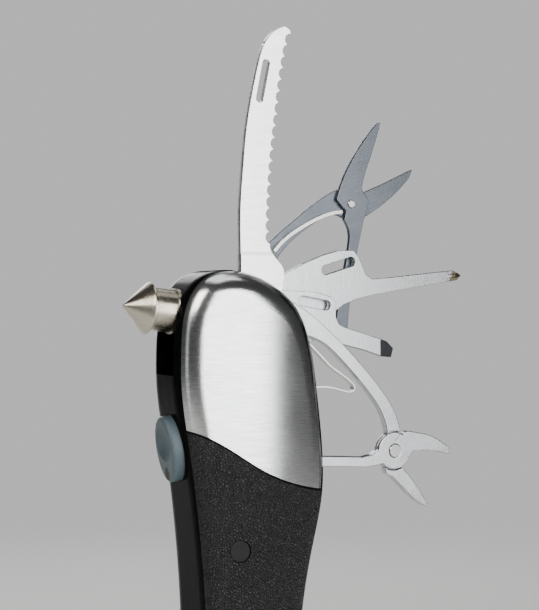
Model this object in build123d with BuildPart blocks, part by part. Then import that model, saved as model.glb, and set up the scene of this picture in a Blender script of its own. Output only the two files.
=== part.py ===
"""Emergency multi tool: a grip-shaped case with a fan of folding tools at the
back, a cone hammer and a belt cutter at the front, and a torch in the tail.
Frame: mm, origin at the centre of the tail face, +Z up to the crest, -X front
(hammer and thumb button), +X back (tools), Y across the case."""
import os
from math import atan2, cos, degrees, radians, sin

from build123d import *

os.makedirs("parts", exist_ok=True)

# Case
case_thick = 30.0
crown_radius = 70.0
edge_round = 8.0
case_bottom = 12.2
plate_thick = 0.9
grip_thick = 1.5
panel_inner = 9.2  # both panels start this far from the middle plane
panel_gap = 0.08
seam_groove = 0.5
wall = 2.2

front_points = [
    (-14, 0), (-14.5, 30), (-15.2, 66), (-17, 88), (-20.1, 110), (-22.9, 128),
    (-23, 139), (-20.8, 151.5), (-15.5, 158),
]
back_points = [
    (-8, 160), (5, 156.5), (12.8, 150.3), (17.3, 141), (20.3, 125), (22.2, 108),
    (22, 97), (18.9, 83.4), (15.3, 66), (14, 36), (13.6, 0),
]
seam_points = [(-30, 117), (-19.4, 116), (-7.5, 109.7), (0.8, 104.6), (10.3, 100.8), (30, 98.2)]

# Tool bay
bay_half = 8.6
bay_front = -6.0
bay_bottom = 61.5
liner_thick = 0.9
liner_outer = 8.5
liner_inner = liner_outer - liner_thick
pivot_x, pivot_z = 3.2, 146.5
pin_radius, pin_half, pin_head, pin_head_thick = 2.5, 10.2, 4.0, 0.8
rivet_radius = 0.8
bore_clear = 0.03
tang_radius = 7.5
washer_thick = 0.3
saw_thick = 2.6
pliers_thick = 3.0
driver_thick, nail_slot = 2.4, 2.8
leaf_thick = 1.5

# Tool layers, each given by the Y of its rear face; the front face is nearer -Y
saw_rear = -liner_inner + washer_thick + saw_thick
pliers_rear = saw_rear + washer_thick + pliers_thick
flat_rear = pliers_rear + washer_thick + driver_thick
cross_rear = flat_rear + washer_thick + driver_thick
lever_rear = cross_rear + washer_thick + leaf_thick
scissors_rear = lever_rear + leaf_thick

# Hammer
hammer_x, hammer_z, hammer_tilt = -20.7, 148.5, 6.7
neck_radius, neck_length = 5.9, 7.4
cone_radius, cone_length = 7.2, 7.2
stud_radius, collar_radius, nut_half = 3.0, 6.5, 5.0

# Belt cutter
hook_top, slot_bottom, mouth_top, cutter_depth = 131.0, 124.6, 143.0, -14.2
cutter_half = 6.6

# Front chamber and thumb button
chamber_low, chamber_high, chamber_back, chamber_half = 76.0, 122.0, -7.6, 9.5
button_x, button_z, button_tilt = -20.35, 110.9, 9.2
button_wide, button_tall, button_proud = 13.0, 18.5, 3.0

# Torch
cap_radius, cap_height = 14.0, 12.0
spigot_radius, cell_bore = 12.4, 11.6
cell_radius, cell_length, cell_circle = 5.2, 43.5, 6.08
carrier_bottom, cell_chamber_top = 12.8, 59.7
lens_opening, lens_thick = 10.2, 1.6

# Fasteners
plug_x, plug_z, plug_radius = -6.8, 83.5, 3.05
case_screws = [(-10.4, 70.0), (-10.4, 135.5)]
screw_radius, post_end = 1.0, 9.4


def inset_outline(points, inset):
    """Moves every point of the case's side outline square to it, inwards."""
    moved = []
    for i, (x, z) in enumerate(points):
        x0, z0 = points[max(i - 1, 0)]
        x1, z1 = points[min(i + 1, len(points) - 1)]
        run = Vector(x1 - x0, z1 - z0).normalized()
        moved.append((x + run.Y * inset, z - run.X * inset))
    moved[0] = (moved[0][0], points[0][1])
    moved[-1] = (moved[-1][0], points[-1][1])
    return moved


def case_volume(inset):
    """The case's whole outside, moved inwards by inset and rounded."""
    outline = inset_outline(front_points + back_points, inset)
    half = case_thick / 2 - inset
    reach = 30.0
    sag = crown_radius - (crown_radius**2 - reach**2) ** 0.5
    with BuildPart() as volume:
        with BuildSketch(Plane.XZ):
            with BuildLine():
                side = Spline(*outline)
                Line(side @ 1, side @ 0)
            make_face()
        extrude(amount=20, both=True)
        with BuildSketch(Plane.XY):
            with BuildLine():
                ThreePointArc((-reach, sag - half), (0, -half), (reach, sag - half))
                Line((reach, sag - half), (reach, half - sag))
                ThreePointArc((reach, half - sag), (0, half), (-reach, half - sag))
                Line((-reach, half - sag), (-reach, sag - half))
            make_face()
        extrude(amount=170, mode=Mode.INTERSECT)
        rims = volume.edges().filter_by(lambda e: abs(e.center().Y) > 6 and e.center().Z > 3)
        fillet(rims, edge_round - inset)
    return volume.part


def seam_zone(shift, above):
    """A slab of side panel region above or below the S-shaped seam."""
    line = [(x, z + shift) for x, z in seam_points]
    edge_z = 175 if above else 20
    with BuildPart() as zone:
        with BuildSketch(Plane.XZ.offset(panel_inner)):
            with BuildLine():
                Spline(*line)
                Polyline(line[-1], (30, edge_z), (-30, edge_z), line[0])
            make_face()
        extrude(amount=10)
        mirror(about=Plane.XZ)
    return zone.part


def tool_plane(y):
    """Side-view drawing plane at height y, centred on the tool pivot."""
    return Plane(origin=(pivot_x, y, pivot_z), x_dir=(1, 0, 0), z_dir=(0, -1, 0))


def slot_between(start, end, width):
    """A nail slot from one end centre to the other."""
    run = Vector(end[0] - start[0], end[1] - start[1])
    with Locations(((start[0] + end[0]) / 2, (start[1] + end[1]) / 2)):
        SlotCenterToCenter(run.length, width, rotation=degrees(atan2(run.Y, run.X)))


outer_case = case_volume(0)
plate_core = case_volume(plate_thick)
grip_core = case_volume(grip_thick)
inner_case = case_volume(wall)
plate_zone = seam_zone(0, True)
grip_zone = seam_zone(-seam_groove, False)
hammer_plane = Plane(
    origin=(hammer_x, 0, hammer_z),
    x_dir=(0, 1, 0),
    z_dir=(-cos(radians(hammer_tilt)), 0, sin(radians(hammer_tilt))),
)
button_plane = Plane(
    origin=(button_x, 0, button_z),
    x_dir=(0, 1, 0),
    z_dir=(-cos(radians(button_tilt)), 0, -sin(radians(button_tilt))),
)

# The whole case is worked out once and then split down the middle
with BuildPart() as case:
    add(outer_case)
    with Locations((0, 0, case_bottom / 2)):
        Box(60, 60, case_bottom, mode=Mode.SUBTRACT)
    with BuildPart(mode=Mode.SUBTRACT):
        add(plate_zone)
        add(plate_core, mode=Mode.SUBTRACT)
    with BuildPart(mode=Mode.SUBTRACT):
        add(grip_zone)
        add(grip_core, mode=Mode.SUBTRACT)
    # bay for the folded tools, open at the back and over the top
    with BuildSketch(Plane.XZ):
        with BuildLine():
            Polyline(
                (bay_front, bay_bottom), (bay_front, 170), (40, 170), (40, bay_bottom),
                close=True,
            )
        make_face()
    extrude(amount=bay_half, both=True, mode=Mode.SUBTRACT)
    # cell chamber and the threaded spigot that takes the tail cap
    with BuildSketch(Plane.XY.offset(5)):
        Circle(spigot_radius)
    extrude(amount=case_bottom - 5)
    with BuildSketch(Plane.XY):
        Circle(cell_bore)
    extrude(amount=cell_chamber_top, mode=Mode.SUBTRACT)
    # front chamber behind the thumb button
    with BuildPart(mode=Mode.SUBTRACT):
        add(inner_case)
        with BuildSketch(Plane.XZ):
            with BuildLine():
                Polyline(
                    (-30, chamber_low), (chamber_back, chamber_low), (chamber_back, chamber_high),
                    (-30, chamber_high), close=True,
                )
            make_face()
        extrude(amount=chamber_half, both=True, mode=Mode.INTERSECT)
    with BuildSketch(button_plane.offset(-8)):
        Ellipse(button_wide / 2 + 0.25, button_tall / 2 + 0.25)
    extrude(amount=20, mode=Mode.SUBTRACT)
    # belt cutter: mouth, slot behind the hook, and a seat for the blade
    with BuildSketch(Plane.XZ):
        with BuildLine():
            Polyline(
                (-30, hook_top), (-21.5, hook_top), (-20.2, hook_top - 2),
                (-19.4, slot_bottom), (-16.6, slot_bottom - 1.2), (cutter_depth, slot_bottom + 6),
                (cutter_depth, mouth_top), (-30, mouth_top), close=True,
            )
        make_face()
        fillet(
            [v for v in vertices() if v.X > -22 and v.Z < mouth_top - 1], 0.9
        )
    extrude(amount=cutter_half, both=True, mode=Mode.SUBTRACT)
    # hammer seat: flat land, stud bore and nut pocket
    with BuildSketch(hammer_plane.offset(-0.9)):
        Circle(collar_radius + 0.2)
    extrude(amount=10, mode=Mode.SUBTRACT)
    with BuildSketch(hammer_plane.offset(-11)):
        Circle(stud_radius + 0.03)
    extrude(amount=12, mode=Mode.SUBTRACT)
    with BuildSketch(hammer_plane.offset(-9.5)):
        RegularPolygon(nut_half + 0.1, 6, major_radius=False)
    extrude(amount=4, mode=Mode.SUBTRACT)
    # through holes: pivot ends, plugs with their screws, case screws
    with BuildSketch(tool_plane(0)):
        Circle(pin_radius + bore_clear)
    extrude(amount=pin_half + 0.2, both=True, mode=Mode.SUBTRACT)
    with BuildSketch(tool_plane(0)):
        Circle(pin_head + 0.3)
    extrude(amount=post_end, both=True, mode=Mode.SUBTRACT)
    for side in (-1, 1):
        plug_plane = Plane(origin=(plug_x, 0, plug_z), x_dir=(1, 0, 0), z_dir=(0, side, 0))
        with BuildSketch(plug_plane.offset(11)):
            Circle(plug_radius + 0.02)
        extrude(amount=6, mode=Mode.SUBTRACT)
        with BuildSketch(plug_plane.offset(8)):
            Circle(1.2)
        extrude(amount=4, mode=Mode.SUBTRACT)
    for x, z in case_screws:
        screw_plane = Plane(origin=(x, 0, z), x_dir=(1, 0, 0), z_dir=(0, 1, 0))
        with BuildSketch(screw_plane):
            Circle(2.9)
        extrude(amount=post_end, both=True)
        with BuildSketch(screw_plane.offset(-7)):
            Circle(screw_radius)
        extrude(amount=20, mode=Mode.SUBTRACT)
        with BuildSketch(screw_plane.offset(post_end)):
            Circle(2.0)
        extrude(amount=6, mode=Mode.SUBTRACT)

with BuildPart() as housing_left:
    add(case.part)
    split(bisect_by=Plane.XZ, keep=Keep.TOP)
housing_left.part.label = "housing_left"
export_step(housing_left.part, "parts/housing_left.step")

with BuildPart() as housing_right:
    add(case.part)
    split(bisect_by=Plane.XZ, keep=Keep.BOTTOM)
housing_right.part.label = "housing_right"
export_step(housing_right.part, "parts/housing_right.step")

# Side plates and grip panels, one of each per side
with BuildPart() as plates:
    with BuildPart():
        add(outer_case)
        add(plate_core, mode=Mode.SUBTRACT)
    with BuildPart(mode=Mode.INTERSECT):
        add(seam_zone(panel_gap, True))

with BuildPart() as grips:
    with BuildPart():
        add(outer_case)
        add(grip_core, mode=Mode.SUBTRACT)
    with BuildPart(mode=Mode.INTERSECT):
        add(seam_zone(-seam_groove - panel_gap, False))
    with BuildSketch(Plane.XZ):
        with Locations((plug_x, plug_z)):
            Circle(plug_radius + 0.02)
    extrude(amount=20, both=True, mode=Mode.SUBTRACT)

with BuildPart() as side_plate_left:
    add(plates.part)
    split(bisect_by=Plane.XZ, keep=Keep.TOP)
side_plate_left.part.label = "side_plate_left"
export_step(side_plate_left.part, "parts/side_plate_left.step")

with BuildPart() as side_plate_right:
    add(plates.part)
    split(bisect_by=Plane.XZ, keep=Keep.BOTTOM)
side_plate_right.part.label = "side_plate_right"
export_step(side_plate_right.part, "parts/side_plate_right.step")

with BuildPart() as grip_panel_left:
    add(grips.part)
    split(bisect_by=Plane.XZ, keep=Keep.TOP)
grip_panel_left.part.label = "grip_panel_left"
export_step(grip_panel_left.part, "parts/grip_panel_left.step")

with BuildPart() as grip_panel_right:
    add(grips.part)
    split(bisect_by=Plane.XZ, keep=Keep.BOTTOM)
grip_panel_right.part.label = "grip_panel_right"
export_step(grip_panel_right.part, "parts/grip_panel_right.step")

# Smooth plugs over the panel screws
for side, word in ((-1, "left"), (1, "right")):
    plug_plane = Plane(origin=(plug_x, 0, plug_z), x_dir=(1, 0, 0), z_dir=(0, side, 0))
    plug_face = case_thick / 2 - 0.5
    with BuildPart() as screw_plug:
        with BuildSketch(plug_plane.offset(12.6)):
            Circle(plug_radius)
        extrude(amount=plug_face - 12.6)
        fillet(screw_plug.faces().sort_by(Axis.Y)[-1 if side > 0 else 0].edges(), 0.35)
    screw_plug.part.label = "screw_plug_" + word
    export_step(screw_plug.part, "parts/screw_plug_" + word + ".step")

    with BuildPart() as panel_screw:
        with BuildSketch(plug_plane.offset(11)):
            Circle(2.3)
            RegularPolygon(1.0, 6, mode=Mode.SUBTRACT)
        extrude(amount=1.4)
        with BuildSketch(plug_plane.offset(8.6)):
            Circle(1.2)
        extrude(amount=2.6)
    panel_screw.part.label = "panel_screw_" + word
    export_step(panel_screw.part, "parts/panel_screw_" + word + ".step")

# Steel liners, the spacer between them and their rivets
spacer_front, spacer_rear, spacer_low, spacer_high = -5.9, -3.5, 66.0, 131.0
rivet_x, rivet_heights = -4.7, (72.0, 98.0, 125.0)
for side, word in ((-1, "left"), (1, "right")):
    with BuildPart() as tool_liner:
        with BuildSketch(Plane.XZ):
            with BuildLine():
                edge = Spline(*inset_outline(front_points + back_points, 1.2))
                Line(edge @ 1, edge @ 0)
            make_face()
            with Locations((bay_front + 0.1, bay_bottom + 0.3)):
                Rectangle(60, 110, align=(Align.MIN, Align.MIN), mode=Mode.INTERSECT)
            with Locations((pivot_x, pivot_z)):
                Circle(pin_radius, mode=Mode.SUBTRACT)
            with Locations(*[(rivet_x, z) for z in rivet_heights]):
                Circle(rivet_radius, mode=Mode.SUBTRACT)
        extrude(amount=liner_thick)
    shift = liner_inner if side > 0 else -liner_outer
    with BuildPart() as placed_liner:
        with Locations((0, shift + liner_thick, 0)):
            add(tool_liner.part)
    placed_liner.part.label = "tool_liner_" + word
    export_step(placed_liner.part, "parts/tool_liner_" + word + ".step")

with BuildPart() as bay_spacer:
    with BuildSketch(Plane.XZ):
        with Locations(((spacer_front + spacer_rear) / 2, (spacer_low + spacer_high) / 2)):
            RectangleRounded(spacer_rear - spacer_front, spacer_high - spacer_low, 0.8)
        with Locations(*[(rivet_x, z) for z in rivet_heights]):
            Circle(rivet_radius, mode=Mode.SUBTRACT)
    extrude(amount=liner_inner, both=True)
bay_spacer.part.label = "bay_spacer"
export_step(bay_spacer.part, "parts/bay_spacer.step")

with BuildPart() as liner_rivets:
    with BuildSketch(Plane.XZ):
        with Locations(*[(rivet_x, z) for z in rivet_heights]):
            Circle(rivet_radius)
    extrude(amount=liner_outer, both=True)
liner_rivets.part.label = "liner_rivets"
export_step(liner_rivets.part, "parts/liner_rivets.step")

with BuildPart() as tool_pivot_pin:
    with BuildSketch(tool_plane(0)):
        Circle(pin_radius)
    extrude(amount=pin_half, both=True)
    for y in (liner_outer, -liner_outer - pin_head_thick):
        with BuildSketch(tool_plane(y + pin_head_thick)):
            Circle(pin_head)
        extrude(amount=pin_head_thick)
tool_pivot_pin.part.label = "tool_pivot_pin"
export_step(tool_pivot_pin.part, "parts/tool_pivot_pin.step")

with BuildPart() as tool_washers:
    for y in (
        -liner_inner + washer_thick, saw_rear + washer_thick, pliers_rear + washer_thick,
        flat_rear + washer_thick, cross_rear + washer_thick, liner_inner,
    ):
        with BuildSketch(tool_plane(y)):
            Circle(5.4)
            Circle(pin_radius + bore_clear, mode=Mode.SUBTRACT)
        extrude(amount=washer_thick)
tool_washers.part.label = "tool_washers"
export_step(tool_washers.part, "parts/tool_washers.step")

# Saw: scalloped edge towards the back, ground thinner above the tang
scallop_count, scallop_depth = 18, 1.35
blade_thick = 2.1
with BuildPart() as saw_blade:
    with BuildSketch(tool_plane(saw_rear)):
        with BuildLine():
            spine = Spline(
                (-6.9, 5.5), (-6.5, 17.2), (-6.6, 30.2), (-5.8, 41.4), (-4.7, 52.6),
                (-2.7, 63.9), (-0.8, 72),
            )
            nose = Spline(
                spine @ 1, (1.9, 78.4), (7.3, 82.1),
                tangents=[spine % 1, (1, 0.25)],
            )
            Polyline(nose @ 1, (8.9, 81.2), (9.1, 80))
            teeth = Spline((9.1, 80), (7, 70.2), (5.6, 60.5), (4.4, 50.9), (3.4, 41), (2.6, 21))
            heel = Spline((2.6, 21), (3.9, 17.4), (6.6, 14.2), (6.6, 9.5), (7.2, 2))
            Line(heel @ 1, (-6.9, 5.5))
        make_face()
        Circle(tang_radius)
        pitch = teeth.length / scallop_count
        bite = ((pitch / 2) ** 2 + scallop_depth**2) / (2 * scallop_depth)
        for i in range(scallop_count):
            along = (i + 0.5) / scallop_count
            run = teeth % along
            centre = (teeth @ along) + Vector(-run.Y, run.X) * (bite - scallop_depth)
            with Locations((centre.X, centre.Y)):
                Circle(bite, mode=Mode.SUBTRACT)
        Circle(pin_radius + bore_clear, mode=Mode.SUBTRACT)
    extrude(amount=saw_thick)
    step = (saw_thick - blade_thick) / 2
    for y, way in ((saw_rear, 1), (saw_rear - saw_thick, -1)):
        with BuildSketch(Plane.YZ.offset(pivot_x)):
            with BuildLine():
                Polyline(
                    (y, pivot_z + 17.6), (y - way * step, pivot_z + 18.6),
                    (y - way * step, pivot_z + 100), (y, pivot_z + 100), close=True,
                )
            make_face()
        extrude(amount=30, both=True, mode=Mode.SUBTRACT)
    with BuildSketch(tool_plane(saw_rear - saw_thick + step)):
        slot_between((1.4, 71.2), (-0.6, 61.3), 2.2)
    extrude(amount=-saw_thick, mode=Mode.SUBTRACT)
saw_blade.part.label = "saw_blade"
export_step(saw_blade.part, "parts/saw_blade.step")

# Cross-point driver: broad base with a nail slot, tapered bar, fluted point
flute_wide, flute_deep, point_taper = 1.9, 0.75, 1.05
with BuildPart() as cross_driver:
    with BuildSketch(tool_plane(cross_rear)):
        with BuildLine():
            Polyline(
                (0, tang_radius), (5, 9.6), (17.5, 15.7), (24.1, 18.3), (29.5, 19.8),
                (34.2, 19.9), (36, 17.9), (38.3, 12.8), (40.6, 11.5), (46.8, 12),
                (69.2, 14.4), (72.2, 12.9), (70.7, 11.4), (65.8, 10.7), (42.2, 7),
                (35.3, 5.6), (31, 4), (20, -3.6), (4, -6.4), close=True,
            )
        make_face()
        fillet([v for v in vertices() if v.X > pivot_x + 10 and v.X < pivot_x + 45], 1.2)
        Circle(tang_radius)
        Circle(pin_radius + bore_clear, mode=Mode.SUBTRACT)
    extrude(amount=driver_thick)
    with BuildSketch(tool_plane(cross_rear - driver_thick)):
        slot_between((25, 14), (33.3, 16.5), nail_slot)
    extrude(amount=-driver_thick, mode=Mode.SUBTRACT)
    # four flutes leave a cross at the point, and both faces taper to it
    for y, way in ((cross_rear, 1), (cross_rear - driver_thick, -1)):
        with BuildSketch(tool_plane(y)):
            slot_between((67.8, 14.05), (75, 14.65), flute_wide)
            slot_between((67.8, 11.15), (75, 11.75), flute_wide)
        extrude(amount=way * flute_deep, mode=Mode.SUBTRACT)
        with BuildSketch(Plane.XY.offset(pivot_z)):
            with BuildLine():
                Polyline(
                    (pivot_x + 69.6, y), (pivot_x + 73.4, y - way * point_taper),
                    (pivot_x + 73.4, y), close=True,
                )
            make_face()
        extrude(amount=30, mode=Mode.SUBTRACT)
cross_driver.part.label = "cross_driver"
export_step(cross_driver.part, "parts/cross_driver.step")

# Flat driver: short, with a wedge-ground tip
with BuildPart() as flat_driver:
    with BuildSketch(tool_plane(flat_rear)):
        with BuildLine():
            Polyline(
                (0, tang_radius), (9.5, 8), (20.6, 7.5), (25.2, 6.2), (26.9, 4.6),
                (26.8, 0.4), (27.8, -1.8), (29.9, -2.7), (42.2, -6.3), (44.2, -7),
                (46.5, -9), (45.7, -11.7), (42.4, -11.4), (36.2, -9.4), (24, -6.4),
                (12, -6.9), (4, -6.4), close=True,
            )
        make_face()
        fillet([v for v in vertices() if v.X > pivot_x + 22 and v.X < pivot_x + 31], 0.9)
        Circle(tang_radius)
        Circle(pin_radius + bore_clear, mode=Mode.SUBTRACT)
    extrude(amount=driver_thick)
    with BuildSketch(tool_plane(flat_rear - driver_thick)):
        slot_between((16, 5), (23.6, 3.7), nail_slot)
    extrude(amount=-driver_thick, mode=Mode.SUBTRACT)
    for y, way in ((flat_rear, 1), (flat_rear - driver_thick, -1)):
        with BuildSketch(Plane.XY.offset(pivot_z - 20)):
            with BuildLine():
                Polyline(
                    (pivot_x + 41.6, y), (pivot_x + 48.4, y - way * 0.95),
                    (pivot_x + 48.4, y), close=True,
                )
            make_face()
        extrude(amount=30, mode=Mode.SUBTRACT)
flat_driver.part.label = "flat_driver"
export_step(flat_driver.part, "parts/flat_driver.step")

# Pliers: half-lap jaw joint, arm and lower jaw in one piece, free handle and
# upper jaw in the other
jaw_x, jaw_z, boss_radius, jaw_rivet = 44.7, -39.0, 5.4, 1.95
lap, lap_clear = pliers_thick / 2, 0.35
pliers_front = pliers_rear - pliers_thick
with BuildPart() as pliers_arm:
    with BuildSketch(tool_plane(pliers_rear)):
        with BuildLine():
            upper = Spline(
                (2, tang_radius - 0.4), (10.1, 5.1), (20.1, -1.2), (28.3, -8.4), (38.1, -18.5),
                (45.2, -28.7), (46.8, -34.6),
            )
            Line(upper @ 1, (42.3, -34.1))
            lower = Spline(
                (42.3, -34.1), (40.9, -28.9), (35.6, -21.2), (26.3, -11.5), (21.1, -7.2),
                (15.5, -4.9), (3, -6.8),
            )
            Line(lower @ 1, upper @ 0)
        make_face()
        Circle(tang_radius)
        with Locations((jaw_x, jaw_z)):
            Circle(boss_radius)
        with BuildLine():
            Polyline((41.2, -42.9), (41.9, -45.6), (44.1, -46.8))
            outside = Spline((44.1, -46.8), (47.3, -49.9), (50.2, -52.6), (55.1, -55.9))
            Polyline(outside @ 1, (56.2, -55.3))
            inside = Spline((56.2, -55.3), (53.8, -51.8), (51.5, -48.7), (48.7, -45.6))
            Polyline(inside @ 1, (47, -43.4), (41.2, -42.9))
        make_face()
        Circle(pin_radius + bore_clear, mode=Mode.SUBTRACT)
        with Locations((jaw_x, jaw_z)):
            Circle(jaw_rivet, mode=Mode.SUBTRACT)
    extrude(amount=pliers_thick)
    with BuildSketch(tool_plane(pliers_front)):
        with Locations((jaw_x, jaw_z)):
            Circle(boss_radius + lap_clear)
    extrude(amount=-lap, mode=Mode.SUBTRACT)
    # clamp slot for the leaf spring
    with BuildSketch(tool_plane(pliers_front)):
        with BuildLine():
            Spline((8.6, -4.3), (13.4, -5.45), (16.2, -7.1), (20.1, -10.6))
        trace(line_width=0.62)
    extrude(amount=-pliers_thick, mode=Mode.SUBTRACT)
pliers_arm.part.label = "pliers_arm"
export_step(pliers_arm.part, "parts/pliers_arm.step")

with BuildPart() as pliers_handle:
    with BuildSketch(tool_plane(pliers_rear)):
        with Locations((jaw_x, jaw_z)):
            Circle(boss_radius)
        with BuildLine():
            Polyline((47.4, -34.5), (48.4, -33.7), (49.3, -33.4))
            top = Spline((49.3, -33.4), (53, -34), (56.7, -34.9), (60.5, -36.7), (63.8, -39.0))
            Polyline(top @ 1, (63.5, -40.8), (59.2, -39.8), (53, -39.2), (51.4, -39.3))
            Polyline((51.4, -39.3), (50.3, -40.3), (47.4, -43), (47.4, -34.5))
        make_face()
        with BuildLine():
            Polyline(
                (8, -38.9), (28, -40), (34, -40.4), (37.2, -39.9), (39.4, -38.4),
                (42.5, -42.4), (38.2, -43.1), (34.6, -43.4), (26.3, -42.8), (8, -42), close=True,
            )
        make_face()
        with Locations((8, -40.45)):
            Circle(1.55)
        with Locations((jaw_x, jaw_z)):
            Circle(jaw_rivet + bore_clear, mode=Mode.SUBTRACT)
    extrude(amount=pliers_thick)
    with BuildSketch(tool_plane(pliers_rear)):
        with Locations((jaw_x, jaw_z)):
            Circle(boss_radius + lap_clear)
    extrude(amount=lap, mode=Mode.SUBTRACT)
pliers_handle.part.label = "pliers_handle"
export_step(pliers_handle.part, "parts/pliers_handle.step")

with BuildPart() as pliers_rivet:
    with BuildSketch(tool_plane(pliers_rear + 0.25)):
        with Locations((jaw_x, jaw_z)):
            Circle(jaw_rivet)
    extrude(amount=pliers_thick + 0.5)
    chamfer(pliers_rivet.edges().filter_by(GeomType.CIRCLE), 0.2)
pliers_rivet.part.label = "pliers_rivet"
export_step(pliers_rivet.part, "parts/pliers_rivet.step")

with BuildPart() as pliers_spring:
    with BuildSketch(tool_plane(pliers_rear - 0.3)):
        with BuildLine():
            leaf = Spline(
                (9, -4.4), (13.4, -5.45), (16.2, -7.1), (20.1, -10.6), (23.9, -14.1),
                (28.8, -17.4), (30.9, -19.2),
            )
            turn = ThreePointArc(leaf @ 1, (31.2, -20.6), (30.1, -21.3))
            Spline(
                (30.1, -21.3), (27.4, -20.9), (23.9, -20), (19.4, -19.6), (10, -20.2),
                tangents=[turn % 1, (-1, 0)],
            )
        trace(line_width=0.42)
    extrude(amount=pliers_thick - 0.6)
pliers_spring.part.label = "pliers_spring"
export_step(pliers_spring.part, "parts/pliers_spring.step")

# Scissors: the fixed blade and its arm in the rear leaf, the lever and its
# blade in the front leaf
rivet_sx, rivet_sz, scissor_rivet = 34.9, 33.7, 1.1
with BuildPart() as scissors_arm:
    with BuildSketch(tool_plane(scissors_rear)):
        with BuildLine():
            arm_top = Spline(
                (-3, 6.9), (2, 14.6), (8.5, 21.7), (17.2, 28.9), (27.9, 36.4), (34, 38.9),
            )
            Line(arm_top @ 1, (40, 37.4))
            Polyline((40, 37.4), (46.7, 40.2), (57, 45), (55.7, 42.2))
            Spline((55.7, 42.2), (52.4, 38.8), (46.7, 34.1), (40.5, 30.2))
            Spline((40.5, 30.2), (35.5, 28.6), (30, 30.6), (24, 28.2), (17, 23.4), (11.3, 17.5))
            Spline((11.3, 17.5), (9, 10), (7.3, 1.5))
            Line((7.3, 1.5), (-3, 6.9))
        make_face()
        Circle(tang_radius)
        Circle(pin_radius + bore_clear, mode=Mode.SUBTRACT)
        with Locations((rivet_sx, rivet_sz)):
            Circle(scissor_rivet, mode=Mode.SUBTRACT)
    extrude(amount=leaf_thick)
    # tang block in the lever's layer
    with BuildSketch(tool_plane(lever_rear)):
        with BuildLine():
            Polyline(
                (0, 6), (2.8, 14.2), (8.2, 20.8), (10.7, 17.4), (8.3, 9.6), (6, 2), close=True,
            )
        make_face()
        Circle(tang_radius)
        Circle(pin_radius + bore_clear, mode=Mode.SUBTRACT)
    extrude(amount=leaf_thick)
scissors_arm.part.label = "scissors_arm"
export_step(scissors_arm.part, "parts/scissors_arm.step")

with BuildPart() as scissors_lever:
    with BuildSketch(tool_plane(lever_rear)):
        with BuildLine():
            Spline((44.9, 58.5), (43.1, 52.4), (41.2, 47.1), (39.6, 42.7), (38.6, 39.0))
            Spline((38.6, 39.0), (39.3, 37), (40.5, 35.5), (40.4, 32.4), (38.7, 27))
            Spline((38.7, 27), (37.1, 20.2), (34.4, 4.4), (33.7, -2.7))
            ThreePointArc((33.7, -2.7), (31.7, -4.6), (29.8, -2.4))
            Spline((29.8, -2.4), (30.3, 2.2), (33.9, 20.5), (34.3, 24.3), (32.5, 28.9))
            Polyline((32.5, 28.9), (33.2, 31.6), (31.8, 32.9), (30, 34.8))
            Spline((30, 34.8), (31.2, 38.6), (35.3, 46.9), (40.8, 54.7), (43.7, 58.1))
            Line((43.7, 58.1), (44.9, 58.5))
        make_face()
        with Locations((rivet_sx, rivet_sz)):
            Circle(scissor_rivet + bore_clear, mode=Mode.SUBTRACT)
    extrude(amount=leaf_thick)
scissors_lever.part.label = "scissors_lever"
export_step(scissors_lever.part, "parts/scissors_lever.step")

with BuildPart() as scissors_rivet:
    with BuildSketch(tool_plane(scissors_rear)):
        with Locations((rivet_sx, rivet_sz)):
            Circle(scissor_rivet)
    extrude(amount=2 * leaf_thick + 0.25)
    chamfer(scissors_rivet.edges().filter_by(GeomType.CIRCLE), 0.15)
scissors_rivet.part.label = "scissors_rivet"
export_step(scissors_rivet.part, "parts/scissors_rivet.step")

with BuildPart() as scissors_spring:
    with BuildSketch(tool_plane(lever_rear - 0.1)):
        with BuildLine():
            Spline((9.6, 19.3), (12.2, 22.1), (16.4, 25.2), (22.6, 28.6), (27.4, 30.5), (31.9, 31.3))
        trace(line_width=0.9)
        with BuildLine():
            Polyline(
                (8.2, 20.8), (10.7, 17.4), (30, -40), (-40, -40), (-40, 40), (-8, 40), close=True,
            )
        make_face(mode=Mode.SUBTRACT)
    extrude(amount=leaf_thick - 0.2)
scissors_spring.part.label = "scissors_spring"
export_step(scissors_spring.part, "parts/scissors_spring.step")

# Hammer: cone and neck with a threaded stud, collar ring and nut
with BuildPart() as hammer_tip:
    with BuildSketch(Plane.XZ):
        with BuildLine():
            Polyline(
                (0, -10.5), (stud_radius - 0.6, -10.5), (stud_radius, -9.9), (stud_radius, 0.1),
                (neck_radius, 0.1), (neck_radius, neck_length - 0.5),
                (cone_radius, neck_length), (cone_radius, neck_length + 0.5),
                (0.35, neck_length + cone_length), (0, neck_length + cone_length + 0.1),
                close=True,
            )
        make_face()
    revolve(axis=Axis.Z)
with BuildPart() as placed_hammer:
    with Locations(hammer_plane):
        add(hammer_tip.part)
placed_hammer.part.label = "hammer_tip"
export_step(placed_hammer.part, "parts/hammer_tip.step")

with BuildPart() as hammer_collar:
    with BuildSketch(hammer_plane.offset(-0.9)):
        Circle(collar_radius)
        Circle(stud_radius + 0.02, mode=Mode.SUBTRACT)
    extrude(amount=1.0)
    chamfer(hammer_collar.edges().filter_by(GeomType.CIRCLE).sort_by(Axis.X)[0], 0.3)
hammer_collar.part.label = "hammer_collar"
export_step(hammer_collar.part, "parts/hammer_collar.step")

with BuildPart() as hammer_nut:
    with BuildSketch(hammer_plane.offset(-9.45)):
        RegularPolygon(nut_half, 6, major_radius=False)
        Circle(stud_radius, mode=Mode.SUBTRACT)
    extrude(amount=3.9)
hammer_nut.part.label = "hammer_nut"
export_step(hammer_nut.part, "parts/hammer_nut.step")

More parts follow.
